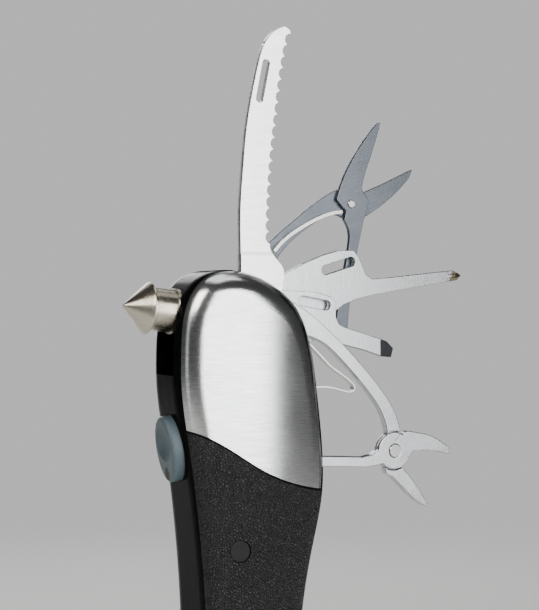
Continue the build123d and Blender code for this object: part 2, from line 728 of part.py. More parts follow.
# Belt cutter blade across the foot of the slot, sharpened on its top edge
with BuildPart() as cutter_blade:
    with BuildSketch(Plane.XZ):
        with BuildLine():
            Polyline(
                (-18.9, slot_bottom + 0.6), (-16.8, slot_bottom - 0.6),
                (cutter_depth - 0.25, slot_bottom + 6.4), (-15.4, slot_bottom + 5.9),
                close=True,
            )
        make_face()
    extrude(amount=0.3, both=True)
cutter_blade.part.label = "cutter_blade"
export_step(cutter_blade.part, "parts/cutter_blade.step")

# Thumb button with a scooped dish, and the flange that keeps it in
flange_top = -wall - 0.35
with BuildPart() as thumb_button:
    with BuildSketch(button_plane.offset(flange_top - 1)):
        Ellipse(button_wide / 2, button_tall / 2)
    extrude(amount=button_proud - flange_top + 1)
    crown = thumb_button.faces().sort_by(Axis.X)[0]
    fillet(crown.edges(), 1.1)
    with BuildSketch(button_plane.offset(flange_top - 1)):
        Ellipse(button_wide / 2 + 0.8, button_tall / 2 + 0.7)
    extrude(amount=1)
    with Locations(button_plane.offset(button_proud + 9.4)):
        with Locations((0, -1.6, 0)):
            Sphere(10.6, mode=Mode.SUBTRACT)
    with BuildSketch(button_plane.offset(flange_top - 3.6)):
        Circle(2.0)
    extrude(amount=2.8)
thumb_button.part.label = "thumb_button"
export_step(thumb_button.part, "parts/thumb_button.step")

with BuildPart() as switch_body:
    with BuildSketch(button_plane.offset(flange_top - 6.6)):
        Rectangle(6, 6)
    extrude(amount=1.6)
    with BuildSketch(button_plane.offset(flange_top - 5)):
        Circle(1.6)
    extrude(amount=0.15)
switch_body.part.label = "switch_body"
export_step(switch_body.part, "parts/switch_body.step")

with BuildPart() as switch_board:
    with BuildSketch(button_plane.offset(flange_top - 7.6)):
        Rectangle(12, 18)
    extrude(amount=1.0)
switch_board.part.label = "switch_board"
export_step(switch_board.part, "parts/switch_board.step")

spring_top, spring_low = flange_top - 1.0, flange_top - 4.9
with BuildPart() as button_spring:
    spring_seat = button_plane.offset(spring_low + 0.1)
    with BuildLine() as coil:
        Helix(
            pitch=0.9, height=spring_top - spring_low - 0.4, radius=2.5,
            center=spring_seat.origin, direction=spring_seat.z_dir,
        )
    with BuildSketch(Plane(origin=coil.line @ 0, z_dir=coil.line % 0)):
        Circle(0.18)
    sweep()
button_spring.part.label = "button_spring"
export_step(button_spring.part, "parts/button_spring.step")

# Tail: ribbed cap, lens, seal, reflector, light board and cells
with BuildPart() as tail_cap:
    with BuildSketch(Plane.XY):
        Circle(cap_radius)
    extrude(amount=cap_height)
    chamfer(tail_cap.edges().filter_by(GeomType.CIRCLE).sort_by(Axis.Z)[0], 0.8)
    with BuildSketch(Plane.XY.offset(1.4)):
        Circle(spigot_radius + 0.06)
    extrude(amount=cap_height, mode=Mode.SUBTRACT)
    Hole(lens_opening)
    with BuildSketch(Plane.XY.offset(3.2)):
        with PolarLocations(cap_radius + 0.25, 30):
            Circle(0.6)
    extrude(amount=6.4, mode=Mode.SUBTRACT)
tail_cap.part.label = "tail_cap"
export_step(tail_cap.part, "parts/tail_cap.step")

with BuildPart() as torch_lens:
    with BuildSketch(Plane.XY.offset(1.4)):
        Circle(spigot_radius)
    extrude(amount=lens_thick)
torch_lens.part.label = "torch_lens"
export_step(torch_lens.part, "parts/torch_lens.step")

with BuildPart() as lens_seal:
    with BuildSketch(Plane.XZ):
        with Locations((11.5, 3.85)):
            Circle(0.8)
    revolve(axis=Axis.Z)
lens_seal.part.label = "lens_seal"
export_step(lens_seal.part, "parts/lens_seal.step")

with BuildPart() as reflector:
    with BuildSketch(Plane.XZ):
        with BuildLine():
            Line((11.4, 5.1), (10.6, 5.1))
            bowl = Spline((10.6, 5.1), (8.6, 7.6), (5.6, 9.4), (2.7, 10.2))
            Polyline(bowl @ 1, (2.7, 11), (11.4, 11), (11.4, 5.1))
        make_face()
    revolve(axis=Axis.Z)
reflector.part.label = "reflector"
export_step(reflector.part, "parts/reflector.step")

with BuildPart() as light_board:
    with BuildSketch(Plane.XY.offset(11)):
        Circle(11.4)
    extrude(amount=0.8)
light_board.part.label = "light_board"
export_step(light_board.part, "parts/light_board.step")

with BuildPart() as lamp:
    with BuildSketch(Plane.XZ):
        with BuildLine():
            Line((0, 11), (2.5, 11))
            Line((2.5, 11), (2.5, 10.2))
            Spline((2.5, 10.2), (1.9, 8.6), (0, 7.7), tangents=[(0, -1), (-1, 0)])
            Line((0, 7.7), (0, 11))
        make_face()
    revolve(axis=Axis.Z)
lamp.part.label = "lamp"
export_step(lamp.part, "parts/lamp.step")

carrier_top = carrier_bottom + 46.6
with BuildPart() as cell_carrier:
    for z in (carrier_bottom, carrier_top - 1):
        with BuildSketch(Plane.XY.offset(z)):
            Circle(cell_bore - 0.1)
        extrude(amount=1)
    with BuildSketch(Plane.XY.offset(carrier_bottom + 1)):
        Circle(0.75)
        with PolarLocations(8.2, 3, start_angle=60):
            Rectangle(3.2, 1.2)
    extrude(amount=carrier_top - carrier_bottom - 2)
cell_carrier.part.label = "cell_carrier"
export_step(cell_carrier.part, "parts/cell_carrier.step")

with BuildPart() as cells:
    with BuildSketch(Plane.XY.offset(carrier_bottom + 1.1)):
        with PolarLocations(cell_circle, 3):
            Circle(cell_radius)
    extrude(amount=cell_length - 0.5)
    with BuildSketch(Plane.XY.offset(carrier_bottom + 0.6 + cell_length)):
        with PolarLocations(cell_circle, 3):
            Circle(1.9)
    extrude(amount=0.9)
cells.part.label = "cells"
export_step(cells.part, "parts/cells.step")

with BuildPart() as contact_spring:
    with BuildLine(Plane.XY.offset(12.05)) as wire:
        Helix(pitch=0.42, height=0.5, radius=2.2)
    with BuildSketch(Plane(origin=wire.line @ 0, z_dir=wire.line % 0)):
        Circle(0.19)
    sweep()
contact_spring.part.label = "contact_spring"
export_step(contact_spring.part, "parts/contact_spring.step")

with BuildPart() as case_screw_set:
    for x, z in case_screws:
        screw_plane = Plane(origin=(x, 0, z), x_dir=(1, 0, 0), z_dir=(0, 1, 0))
        with BuildSketch(screw_plane.offset(-6.8)):
            Circle(screw_radius)
        extrude(amount=16.3)
        with BuildSketch(screw_plane.offset(9.45)):
            Circle(1.9)
            RegularPolygon(0.8, 6, mode=Mode.SUBTRACT)
        extrude(amount=1.5)
case_screw_set.part.label = "case_screw_set"
export_step(case_screw_set.part, "parts/case_screw_set.step")
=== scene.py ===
from math import cos, pi, radians, sin

import bpy
import bmesh
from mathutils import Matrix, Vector


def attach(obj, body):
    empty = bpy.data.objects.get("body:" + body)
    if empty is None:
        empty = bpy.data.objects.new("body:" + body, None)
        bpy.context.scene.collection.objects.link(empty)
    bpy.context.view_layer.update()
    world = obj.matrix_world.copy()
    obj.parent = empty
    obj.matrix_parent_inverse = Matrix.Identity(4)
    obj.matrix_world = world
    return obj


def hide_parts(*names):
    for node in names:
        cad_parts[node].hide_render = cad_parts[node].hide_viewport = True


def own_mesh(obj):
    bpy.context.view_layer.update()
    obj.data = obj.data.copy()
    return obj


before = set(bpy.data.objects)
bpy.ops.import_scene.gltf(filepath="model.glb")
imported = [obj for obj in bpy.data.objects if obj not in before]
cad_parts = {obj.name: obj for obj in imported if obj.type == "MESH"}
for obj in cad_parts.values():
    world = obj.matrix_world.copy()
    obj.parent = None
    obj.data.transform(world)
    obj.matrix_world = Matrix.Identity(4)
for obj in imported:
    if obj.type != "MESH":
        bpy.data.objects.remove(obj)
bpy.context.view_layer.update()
print("frame loaded:", len(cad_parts), "nodes")

mm = 0.001
scene = bpy.context.scene


# short calls for nodes and materials

def newMaterial(name, colour, roughness, metallic=0.0):
    material = bpy.data.materials.new(name)
    material.use_nodes = True
    shader = material.node_tree.nodes["Principled BSDF"]
    shader.inputs["Base Color"].default_value = (*colour, 1)
    shader.inputs["Roughness"].default_value = roughness
    shader.inputs["Metallic"].default_value = metallic
    return material, material.node_tree, shader


def newGroup(name, inputs, outputs):
    group = bpy.data.node_groups.new(name, "ShaderNodeTree")
    for label, kind, value in inputs:
        socket = group.interface.new_socket(name=label, in_out="INPUT", socket_type=kind)
        socket.default_value = value
    for label, kind in outputs:
        group.interface.new_socket(name=label, in_out="OUTPUT", socket_type=kind)
    return group, group.nodes.new("NodeGroupInput"), group.nodes.new("NodeGroupOutput")


def useGroup(tree, group, **values):
    node = tree.nodes.new("ShaderNodeGroup")
    node.node_tree = group
    for label, value in values.items():
        node.inputs[label.replace("_", " ")].default_value = value
    return node.outputs


def objectPlace(tree):
    return tree.nodes.new("ShaderNodeTexCoord").outputs["Object"]


def cameraRay(tree):
    return tree.nodes.new("ShaderNodeLightPath").outputs["Is Camera Ray"]


def feed(tree, socket, value):
    # a number or vector is set on the socket, anything else is linked to it
    if isinstance(value, bpy.types.NodeSocket):
        tree.links.new(value, socket)
    else:
        socket.default_value = value


def mathNode(tree, operation, a, b, clamp=False):
    node = tree.nodes.new("ShaderNodeMath")
    node.operation = operation
    node.use_clamp = clamp
    feed(tree, node.inputs[0], a)
    feed(tree, node.inputs[1], b)
    return node.outputs[0]


def vectorNode(tree, operation, *values):
    node = tree.nodes.new("ShaderNodeVectorMath")
    node.operation = operation
    for socket, value in zip(node.inputs, values):
        feed(tree, socket, value)
    return node.outputs


def noiseNode(tree, vector, scale, detail=3.0, rough=0.55):
    node = tree.nodes.new("ShaderNodeTexNoise")
    node.inputs["Detail"].default_value = detail
    node.inputs["Roughness"].default_value = rough
    feed(tree, node.inputs["Scale"], scale)
    tree.links.new(vector, node.inputs["Vector"])
    return node.outputs["Fac"]


def stretch(tree, value, low, high, toLow=0.0, toHigh=1.0, curve="LINEAR"):
    node = tree.nodes.new("ShaderNodeMapRange")
    node.interpolation_type = curve
    tree.links.new(value, node.inputs["Value"])
    for label, number in zip(("From Min", "From Max", "To Min", "To Max"), (low, high, toLow, toHigh)):
        node.inputs[label].default_value = number
    return node.outputs["Result"]


def blendColour(tree, factor, first, second):
    node = tree.nodes.new("ShaderNodeMix")
    node.data_type = "RGBA"
    tree.links.new(factor, node.inputs["Factor"])
    for index, value in ((6, first), (7, second)):  # a Mix node's colour sockets
        feed(tree, node.inputs[index], (*value, 1) if isinstance(value, tuple) else value)
    return node.outputs[2]


def addUp(tree, start, *terms):
    total = start
    for value, weight in terms:
        total = mathNode(tree, "ADD", mathNode(tree, "MULTIPLY", value, weight), total)
    return total


def setColour(tree, shader, value):
    tree.links.new(value, shader.inputs["Base Color"])


def setRough(tree, shader, start, *terms):
    tree.links.new(addUp(tree, start, *terms), shader.inputs["Roughness"])


def addBump(tree, shader, height, distance, strength=1.0):
    bump = tree.nodes.new("ShaderNodeBump")
    bump.inputs["Distance"].default_value = distance
    bump.inputs["Strength"].default_value = strength
    tree.links.new(height, bump.inputs["Height"])
    tree.links.new(bump.outputs["Normal"], shader.inputs["Normal"])


def mixShaders(tree, factor, first, second, output):
    node = tree.nodes.new("ShaderNodeMixShader")
    for socket, source in zip(node.inputs, (factor, first, second)):
        tree.links.new(source, socket)
    tree.links.new(node.outputs[0], tree.nodes[output].inputs["Surface"])


def paint(material, *names):
    for name in names:
        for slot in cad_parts[name].material_slots:
            slot.material = material


# camera, floor and lights

camera = {
    "aim": (9 * mm, 0, 150.3 * mm),
    "turn": 26,                # degrees towards the hammer side
    "distance": 410 * mm,
    "lens": 85, "sensor": 36, "nearest": 10 * mm,
}


def setCamera():
    data = bpy.data.cameras.new("mainCamera")
    data.lens = camera["lens"]
    data.sensor_width = camera["sensor"]
    data.clip_start = camera["nearest"]
    cam = bpy.data.objects.new("mainCamera", data)
    scene.collection.objects.link(cam)
    turn = radians(camera["turn"])
    away = Vector((-sin(turn), -cos(turn), 0)) * camera["distance"]
    cam.location = Vector(camera["aim"]) + away
    cam.rotation_euler = (pi / 2, 0, -turn)
    scene.camera = cam


studio = {
    "floorSize": 6.0,
    "floorDrop": 20.4 * mm,    # room for the tail cap to come off
    "wallBehind": 1.5, "wallHeight": 2.4, "bendRadius": 0.6, "bendSteps": 12,
    "paper": (0.82, 0.82, 0.81), "roughness": 0.9,
    "ambient": 0.05,
    "beyond": 0.60,            # the even tone that the far paper melts into
    "fade": (0.28, 0.74),      # from how near to how far off it melts
}

# name: place, size, watts, colour, what it points at
lamps = {
    "keyBox": ((0.102, -0.682, 0.24), (0.57, 0.70), 6.2, (1, 1, 1), (0, 0, 0.14)),
    "leftStrip": ((-0.60, -0.22, 0.20), (0.06, 0.50), 0.09, (0.93, 0.97, 1), (0, 0, 0.14)),
    "hammerBox": ((-0.48, -0.26, 0.50), (0.26, 0.34), 1.9, (1, 0.95, 0.88), (-0.03, 0, 0.15)),
    "topBox": ((0.05, 0.02, 0.95), (0.5, 0.5), 1.2, (1, 1, 1), (0, 0, 0.15)),
    "rearFill": ((0.16, 0.95, 0.42), (0.30, 0.60), 1.6, (0.96, 0.98, 1), (0, 0, 0.12)),
    "paperWash": ((0.40, 0.30, 1.20), (1.8, 0.5), 20, (1, 1, 1), (0.62, 1.50, 0.90)),
}

# a black card to the right of the object, which only reflections see
flag = {
    "turn": 126, "distance": 0.45, "width": 0.61, "low": -0.02, "high": 0.50,
    "colour": (0.002, 0.002, 0.002),
}


def paperMaterial():
    material, tree, shader = newMaterial("paperSweep", studio["paper"], studio["roughness"])
    away = vectorNode(tree, "LENGTH", objectPlace(tree))["Value"]
    faded = stretch(tree, away, *studio["fade"], curve="SMOOTHSTEP")
    even = tree.nodes.new("ShaderNodeEmission")
    even.inputs["Color"].default_value = (*[studio["beyond"]] * 3, 1)
    seen = mathNode(tree, "MULTIPLY", faded, cameraRay(tree))
    mixShaders(tree, seen, shader.outputs[0], even.outputs[0], "Material Output")
    return material


def sweepOfPaper():
    # one sheet: floor, a bend, then a wall behind, square to the main view
    half, back, r = studio["floorSize"] / 2, studio["wallBehind"], studio["bendRadius"]
    steps = studio["bendSteps"]
    turns = [pi / 2 * i / steps for i in range(1, steps + 1)]
    profile = [(-half, 0), (back - r, 0)]
    profile += [(back - r + r * sin(a), r - r * cos(a)) for a in turns]
    profile.append((back, studio["wallHeight"]))
    bm = bmesh.new()
    rows = []
    for y, z in profile:
        rows.append([bm.verts.new((x, y, z - studio["floorDrop"])) for x in (-half, half)])
    for a, b in zip(rows, rows[1:]):
        bm.faces.new((a[0], a[1], b[1], b[0]))
    mesh = bpy.data.meshes.new("studioSweep")
    bm.to_mesh(mesh)
    bm.free()
    for face in mesh.polygons:
        face.use_smooth = True
    mesh.materials.append(paperMaterial())
    floor = bpy.data.objects.new("studioSweep", mesh)
    floor.rotation_euler = (0, 0, -radians(camera["turn"]))
    scene.collection.objects.link(floor)


def blackFlag():
    turn = radians(flag["turn"])
    middle = Vector((sin(turn), -cos(turn), 0)) * flag["distance"]
    side = Vector((cos(turn), sin(turn), 0)) * flag["width"] / 2
    near, far = middle - side, middle + side
    low, high = flag["low"], flag["high"]
    points = [(near.x, near.y, low), (far.x, far.y, low), (far.x, far.y, high), (near.x, near.y, high)]
    mesh = bpy.data.meshes.new("blackFlag")
    mesh.from_pydata(points, [], [(0, 1, 2, 3)])
    material, tree, shader = newMaterial("flagCloth", flag["colour"], 1.0)
    shader.inputs["Specular IOR Level"].default_value = 0.0
    mesh.materials.append(material)
    card = bpy.data.objects.new("blackFlag", mesh)
    scene.collection.objects.link(card)
    card.visible_camera = card.visible_diffuse = card.visible_shadow = card.visible_transmission = False


def addLight(name, at, size, power, colour, aim):
    data = bpy.data.lights.new(name, "AREA")
    data.shape = "RECTANGLE"
    data.size, data.size_y = size
    data.energy = power
    data.color = colour
    light = bpy.data.objects.new(name, data)
    scene.collection.objects.link(light)
    light.location = at
    light.rotation_euler = (Vector(at) - Vector(aim)).to_track_quat("Z", "Y").to_euler()


def lightStudio():
    world = bpy.data.worlds.new("studioWorld")
    world.use_nodes = True
    tree = world.node_tree
    dim = tree.nodes["Background"]
    pale = tree.nodes.new("ShaderNodeBackground")
    for node, grey in ((dim, studio["ambient"]), (pale, studio["beyond"])):
        node.inputs["Color"].default_value = (grey, grey, grey, 1)
    mixShaders(tree, cameraRay(tree), dim.outputs[0], pale.outputs[0], "World Output")
    scene.world = world
    for name, lamp in lamps.items():
        addLight(name, *lamp)


setCamera()
sweepOfPaper()
blackFlag()
lightStudio()
print("camera, floor and lights set")


# brushed streaks: the Stretch vector is small along the brushing

brushing = {
    "coarse": (2.0, 0.55), "fine": (4.0, 0.7),  # noise detail and roughness
    "finer": 3.1, "range": (0.34, 0.66),
    "patchScale": 55, "patchRange": (0.35, 0.7),
}


def brushedGroup():
    group, inside, out = newGroup(
        "brushedLines",
        [("Stretch", "NodeSocketVector", (1, 1, 1)), ("Turn", "NodeSocketFloat", 0.0)],
        [("Lines", "NodeSocketFloat"), ("Patches", "NodeSocketFloat")],
    )
    place = objectPlace(group)
    spin = group.nodes.new("ShaderNodeVectorRotate")
    spin.rotation_type = "Y_AXIS"
    group.links.new(place, spin.inputs["Vector"])
    group.links.new(inside.outputs["Turn"], spin.inputs["Angle"])
    pulled = vectorNode(group, "MULTIPLY", spin.outputs["Vector"], inside.outputs["Stretch"])["Vector"]
    closer = vectorNode(group, "MULTIPLY", pulled, [brushing["finer"]] * 3)["Vector"]
    coarse = noiseNode(group, pulled, 1.0, *brushing["coarse"])
    fine = noiseNode(group, closer, 1.0, *brushing["fine"])
    both = mathNode(group, "MULTIPLY", mathNode(group, "ADD", coarse, fine), 0.5)
    group.links.new(stretch(group, both, *brushing["range"]), out.inputs["Lines"])
    patches = noiseNode(group, place, brushing["patchScale"])
    group.links.new(stretch(group, patches, *brushing["patchRange"]), out.inputs["Patches"])
    return group


# leather-like moulded grain

grain = {
    "cells": 1600.0, "pores": 5200.0, "scatter": 0.95, "domeEdge": 0.32, "poreHeight": 0.35,
    "shineScale": 90, "shineRange": (0.35, 0.65),
}


def grainGroup():
    group, inside, out = newGroup(
        "leatherGrain",
        [("Cells", "NodeSocketFloat", grain["cells"]), ("Pores", "NodeSocketFloat", grain["pores"])],
        [("Height", "NodeSocketFloat"), ("Shine", "NodeSocketFloat")],
    )
    place = objectPlace(group)
    cells = group.nodes.new("ShaderNodeTexVoronoi")
    cells.feature = "DISTANCE_TO_EDGE"
    cells.inputs["Randomness"].default_value = grain["scatter"]
    group.links.new(place, cells.inputs["Vector"])
    group.links.new(inside.outputs["Cells"], cells.inputs["Scale"])
    domes = stretch(group, cells.outputs["Distance"], 0.0, grain["domeEdge"])
    pores = noiseNode(group, place, inside.outputs["Pores"], 2.0)
    group.links.new(addUp(group, domes, (pores, grain["poreHeight"])), out.inputs["Height"])
    shine = noiseNode(group, place, grain["shineScale"], 4.0)
    group.links.new(stretch(group, shine, *grain["shineRange"]), out.inputs["Shine"])
    return group


# rims for a painted edge highlight and rubbed wear: where a slightly rounded copy of the surface would turn
# away from it

highlightAndWear = {"width": 0.3 * mm, "breakup": 900.0, "samples": 4, "gain": 6.0, "range": (0.35, 0.6)}


def highlightAndWearGroup():
    group, inside, out = newGroup(
        "edgeHighlightAndWear",
        [("Width", "NodeSocketFloat", highlightAndWear["width"]), ("Breakup", "NodeSocketFloat", highlightAndWear["breakup"])],
        [("Rim", "NodeSocketFloat")],
    )
    rounded = group.nodes.new("ShaderNodeBevel")
    rounded.samples = highlightAndWear["samples"]
    group.links.new(inside.outputs["Width"], rounded.inputs["Radius"])
    flat = group.nodes.new("ShaderNodeNewGeometry").outputs["Normal"]
    agree = vectorNode(group, "DOT_PRODUCT", rounded.outputs["Normal"], flat)["Value"]
    rim = mathNode(group, "MULTIPLY", mathNode(group, "SUBTRACT", 1.0, agree), highlightAndWear["gain"], clamp=True)
    patchy = noiseNode(group, objectPlace(group), inside.outputs["Breakup"], 4.0)
    broken = mathNode(group, "MULTIPLY", rim, stretch(group, patchy, *highlightAndWear["range"]), clamp=True)
    group.links.new(broken, out.inputs["Rim"])
    return group


# fingerprints, hairline scratches and a little dust

handled = {
    "smudgeScale": 70.0, "smudgeRange": (0.42, 0.68),
    "scratchScale": 260.0, "scratchRange": (0.735, 0.76), "slant": 24, "pull": (0.16, 1.6, 6.5),
    "dustScale": 2600, "dustRange": (0.7, 0.78),
}


def handlingGroup():
    group, inside, out = newGroup(
        "handling",
        [
            ("Smudge Scale", "NodeSocketFloat", handled["smudgeScale"]),
            ("Scratch Scale", "NodeSocketFloat", handled["scratchScale"]),
        ],
        [("Smudge", "NodeSocketFloat"), ("Scratch", "NodeSocketFloat"), ("Dust", "NodeSocketFloat")],
    )
    place = objectPlace(group)
    smudge = noiseNode(group, place, inside.outputs["Smudge Scale"], 5.0, 0.62)
    group.links.new(stretch(group, smudge, *handled["smudgeRange"]), out.inputs["Smudge"])
    slant = group.nodes.new("ShaderNodeMapping")
    slant.inputs["Rotation"].default_value = (0, radians(handled["slant"]), 0)
    slant.inputs["Scale"].default_value = handled["pull"]
    group.links.new(place, slant.inputs["Vector"])
    hair = noiseNode(group, slant.outputs["Vector"], inside.outputs["Scratch Scale"], 1.0)
    group.links.new(stretch(group, hair, *handled["scratchRange"]), out.inputs["Scratch"])
    specks = noiseNode(group, place, handled["dustScale"], 2.0)
    group.links.new(stretch(group, specks, *handled["dustRange"]), out.inputs["Dust"])
    return group


brushedLines = brushedGroup()
leatherGrain = grainGroup()
edgeHighlightAndWear = highlightAndWearGroup()
handling = handlingGroup()


def addMarks(tree, smudges, scratches=handled["scratchScale"]):
    return useGroup(tree, handling, Smudge_Scale=smudges, Scratch_Scale=scratches)


def addRim(tree, width, breakup):
    return useGroup(tree, edgeHighlightAndWear, Width=width, Breakup=breakup)["Rim"]


# case: in each look, marks are the scales of smudges and scratches, and rim is width and breakup

glossBlack = {
    "colour": (0.003, 0.003, 0.0035), "paleTone": (0.03, 0.03, 0.032), "dust": (0.16, 0.155, 0.15),
    "roughness": 0.12, "gloss": 0.14, "ior": 1.2,
    "marks": (60.0, 240.0), "rim": (0.35 * mm, 700.0), "dusty": 0.3,
    "smudged": 0.10, "scratched": 0.22, "rimHighlightAndWear": 0.2, "flowScale": 240, "depth": 0.02 * mm,
}


def housingMaterial():
    look = glossBlack
    material, tree, shader = newMaterial("glossBlackShell", look["colour"], look["roughness"])
    marks = addMarks(tree, *look["marks"])
    rim = addRim(tree, *look["rim"])
    # painted edge highlight and rubbed wear: the rims are coloured a paler grey
    colour = blendColour(tree, rim, look["colour"], look["paleTone"])
    dusty = mathNode(tree, "MULTIPLY", marks["Dust"], look["dusty"])
    setColour(tree, shader, blendColour(tree, dusty, colour, look["dust"]))
    setRough(
        tree, shader, look["roughness"],
        (marks["Smudge"], look["smudged"]), (marks["Scratch"], look["scratched"]), (rim, look["rimHighlightAndWear"]),
    )
    shader.inputs["Specular IOR Level"].default_value = look["gloss"]
    shader.inputs["IOR"].default_value = look["ior"]
    flow = noiseNode(tree, objectPlace(tree), look["flowScale"], 2.0)
    addBump(tree, shader, addUp(tree, flow, (marks["Scratch"], -0.5)), look["depth"])
    return material


platePaint = {
    "light": (0.86, 0.865, 0.87), "dark": (0.50, 0.515, 0.54), "streaks": (170, 700, 3300),
    "marks": (45.0, 180.0), "toneFrom": -0.1, "streakTone": 0.85, "smudgeTone": 0.10,
    "roughness": 0.12, "streaked": 0.09, "smudged": 0.03, "scratched": 0.06,
    "lineDepth": 0.007 * mm, "anisotropy": 0.3,
}


def plateMaterial():
    look = platePaint
    material, tree, shader = newMaterial("brushedPlate", look["light"], look["roughness"], 1.0)
    lines = useGroup(tree, brushedLines, Stretch=look["streaks"])["Lines"]
    marks = addMarks(tree, *look["marks"])
    tone = addUp(
        tree, look["toneFrom"], (lines, look["streakTone"]), (marks["Smudge"], look["smudgeTone"])
    )
    setColour(tree, shader, blendColour(tree, tone, look["light"], look["dark"]))
    setRough(
        tree, shader, look["roughness"],
        (lines, look["streaked"]), (marks["Smudge"], look["smudged"]), (marks["Scratch"], look["scratched"]),
    )
    shader.inputs["Anisotropic"].default_value = look["anisotropy"]
    addBump(tree, shader, addUp(tree, lines, (marks["Scratch"], -0.4)), look["lineDepth"])
    return material


gripPaint = {
    "valleyShade": (0.0025, 0.0025, 0.003), "dome": (0.026, 0.027, 0.030), "dust": (0.10, 0.10, 0.10),
    "roughness": 0.42, "gloss": 0.34, "cells": 1350.0, "depth": 0.22 * mm, "domeRange": (0.35, 1.15),
    "smudges": 35.0, "dusty": 0.35, "shiny": -0.08, "smudged": 0.08,
}


def gripMaterial():
    look = gripPaint
    material, tree, shader = newMaterial("grainedGrip", look["dome"], look["roughness"])
    skin = useGroup(tree, leatherGrain, Cells=look["cells"])
    marks = addMarks(tree, look["smudges"])
    # painted shade: the grain's valleys are coloured near-black and its domes lighter, following the grain's
    # height
    domes = stretch(tree, skin["Height"], *look["domeRange"])
    colour = blendColour(tree, domes, look["valleyShade"], look["dome"])
    dusty = mathNode(tree, "MULTIPLY", marks["Dust"], look["dusty"])
    setColour(tree, shader, blendColour(tree, dusty, colour, look["dust"]))
    setRough(
        tree, shader, look["roughness"], (skin["Shine"], look["shiny"]), (marks["Smudge"], look["smudged"])
    )
    shader.inputs["Specular IOR Level"].default_value = look["gloss"]
    addBump(tree, shader, skin["Height"], look["depth"])
    return material


plug = {
    "colour": (0.012, 0.012, 0.013), "dust": (0.1, 0.1, 0.1), "roughness": 0.27, "gloss": 0.14,
    "marks": (200.0, 500.0), "dusty": 0.4, "smudged": 0.14, "scratched": 0.2, "depth": 0.01 * mm,
}


def plugMaterial():
    look = plug
    material, tree, shader = newMaterial("smoothPlug", look["colour"], look["roughness"])
    marks = addMarks(tree, *look["marks"])
    dusty = mathNode(tree, "MULTIPLY", marks["Dust"], look["dusty"])
    setColour(tree, shader, blendColour(tree, dusty, look["colour"], look["dust"]))
    setRough(
        tree, shader, look["roughness"],
        (marks["Smudge"], look["smudged"]), (marks["Scratch"], look["scratched"]),
    )
    shader.inputs["Specular IOR Level"].default_value = look["gloss"]
    addBump(tree, shader, marks["Smudge"], look["depth"])
    return material


plastics = {
    "spacerPlastic": ((0.02, 0.02, 0.022), 0.5), "switchPlastic": ((0.03, 0.03, 0.035), 0.45),
    "capPlastic": ((0.012, 0.012, 0.013), 0.3),
}
moulding = {"smudges": 90.0, "paler": 1.35, "lift": 0.01, "smudged": 0.12, "grain": 4200, "depth": 0.02 * mm}


def plasticMaterial(name):
    colour, roughness = plastics[name]
    material, tree, shader = newMaterial(name, colour, roughness)
    smudge = addMarks(tree, moulding["smudges"])["Smudge"]
    pale = tuple(moulding["paler"] * c + moulding["lift"] for c in colour)
    setColour(tree, shader, blendColour(tree, smudge, colour, pale))
    setRough(tree, shader, roughness, (smudge, moulding["smudged"]))
    addBump(tree, shader, noiseNode(tree, objectPlace(tree), moulding["grain"], 2.0), moulding["depth"])
    return material


paint(housingMaterial(), "housing_left", "housing_right")
paint(plateMaterial(), "side_plate_left", "side_plate_right")
paint(gripMaterial(), "grip_panel_left", "grip_panel_right")
paint(plugMaterial(), "screw_plug_left", "screw_plug_right")
paint(plasticMaterial("spacerPlastic"), "bay_spacer", "cell_carrier")
print("case painted")


# steel tools: turn is the way the grinding lines run, cloud how patchy, and rim how strongly the edges are
# painted pale, a painted edge highlight and rubbed wear

groundSteel = {
    "saw": {
        "light": (0.93, 0.93, 0.92), "dark": (0.78, 0.78, 0.78),
        "roughness": 0.24, "turn": 6, "cloud": 0.05, "rim": 0.6,
    },
    "driver": {
        "light": (0.60, 0.625, 0.635), "dark": (0.47, 0.495, 0.51),
        "roughness": 0.25, "turn": 95, "cloud": 0.05, "rim": 0.5,
    },
    "pliers": {
        "light": (0.70, 0.71, 0.72), "dark": (0.48, 0.50, 0.53),
        "roughness": 0.25, "turn": 40, "cloud": 0.30, "rim": 0.5,
    },
    "scissors": {
        "light": (0.155, 0.173, 0.193), "dark": (0.098, 0.111, 0.13),
        "roughness": 0.28, "turn": 20, "cloud": 0.40, "rim": 0.2,
    },
    "liner": {
        "light": (0.60, 0.60, 0.61), "dark": (0.40, 0.40, 0.41),
        "roughness": 0.34, "turn": 0, "cloud": 0.2, "rim": 0.5,
    },
    "spring": {
        "light": (0.72, 0.71, 0.68), "dark": (0.48, 0.47, 0.44),
        "roughness": 0.26, "turn": 60, "cloud": 0.1, "rim": 0.3,
    },
}
grinding = {
    "streaks": (90, 900, 2600), "marks": (150.0, 420.0), "rim": (0.22 * mm, 1200.0),
    "rimHighlightAndWear": (0.93, 0.93, 0.92), "streakTone": 0.55, "anisotropy": 0.25, "lineDepth": 0.004 * mm,
    "streaked": 0.06, "smudged": 0.3, "scratched": 0.10, "polished": -0.08,
}


def steelMaterial(kind):
    look = groundSteel[kind]
    material, tree, shader = newMaterial(kind + "Steel", look["light"], look["roughness"], 1.0)
    lines = useGroup(tree, brushedLines, Stretch=grinding["streaks"], Turn=radians(look["turn"]))
    marks = addMarks(tree, *grinding["marks"])
    rim = addRim(tree, *grinding["rim"])
    tone = addUp(tree, 0.0, (lines["Lines"], grinding["streakTone"]), (lines["Patches"], look["cloud"]))
    colour = blendColour(tree, tone, look["light"], look["dark"])
    # painted edge highlight and rubbed wear: the rims are blended towards near-white
    paintedEdgeHighlight = mathNode(tree, "MULTIPLY", rim, look["rim"])
    setColour(tree, shader, blendColour(tree, paintedEdgeHighlight, colour, grinding["rimHighlightAndWear"]))
    setRough(
        tree, shader, look["roughness"], (lines["Lines"], grinding["streaked"]),
        (marks["Smudge"], grinding["smudged"] * look["cloud"]),
        (marks["Scratch"], grinding["scratched"]), (rim, grinding["polished"]),
    )
    shader.inputs["Anisotropic"].default_value = grinding["anisotropy"]
    addBump(tree, shader, addUp(tree, lines["Lines"], (marks["Scratch"], -0.5)), grinding["lineDepth"])
    return material


